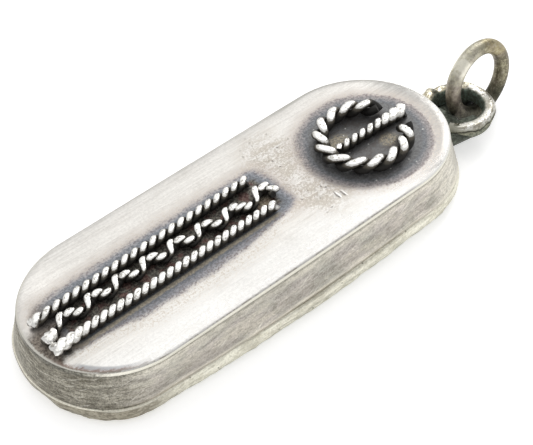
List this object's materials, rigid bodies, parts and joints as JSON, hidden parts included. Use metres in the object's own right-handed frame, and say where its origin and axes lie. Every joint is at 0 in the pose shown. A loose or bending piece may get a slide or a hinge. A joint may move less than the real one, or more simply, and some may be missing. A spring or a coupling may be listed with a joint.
{
  "type": "pendant",
  "caption": "Oblong metal box pendant with twisted wire rails, a waved wire between them, an open wire ring crossed by a bar, a hanging loop and a jump ring.",
  "frame": {"origin": "centre of the flat back face", "axes": "+X along the box towards the hanging loop, +Y across the box, +Z out of the decorated front"},
  "size_m": [0.041, 0.014, 0.0062],
  "materials": {
    "plate_silver": "brushed and worn silver with dark oxide round the wires",
    "back_silver": "worn silver, slightly yellowed",
    "wire_silver": "polished on top, blackened in the grooves",
    "loop_silver": "bright worn rim, dark green-grey inside",
    "solder_grey": "rough solder with green-grey tarnish",
    "ring_silver": "tarnished wire, olive brown"
  },
  "bodies": {
    "pendant": {"back_plate": "back_silver", "side_wall": "plate_silver", "front_plate": "plate_silver", "upper_rail_strand_a": "wire_silver", "upper_rail_strand_b": "wire_silver", "lower_rail_strand_a": "wire_silver", "lower_rail_strand_b": "wire_silver", "wave_strand_a": "wire_silver", "wave_strand_b": "wire_silver", "ring_strand_a": "wire_silver", "ring_strand_b": "wire_silver", "bar_strand_a": "wire_silver", "bar_strand_b": "wire_silver", "hanging_loop": "loop_silver", "loop_solder": "solder_grey"},
    "jump_ring_body": {"jump_ring": "ring_silver"}
  },
  "joints": [
    {"name": "jump_ring_swing", "type": "hinge", "parent": "pendant", "child": "jump_ring_body", "pos_m": [0.02102, -0.00055, 0.00136], "axis": [-0.04, 0.9954, -0.0872], "range_deg": [0, 155]}
  ]
}
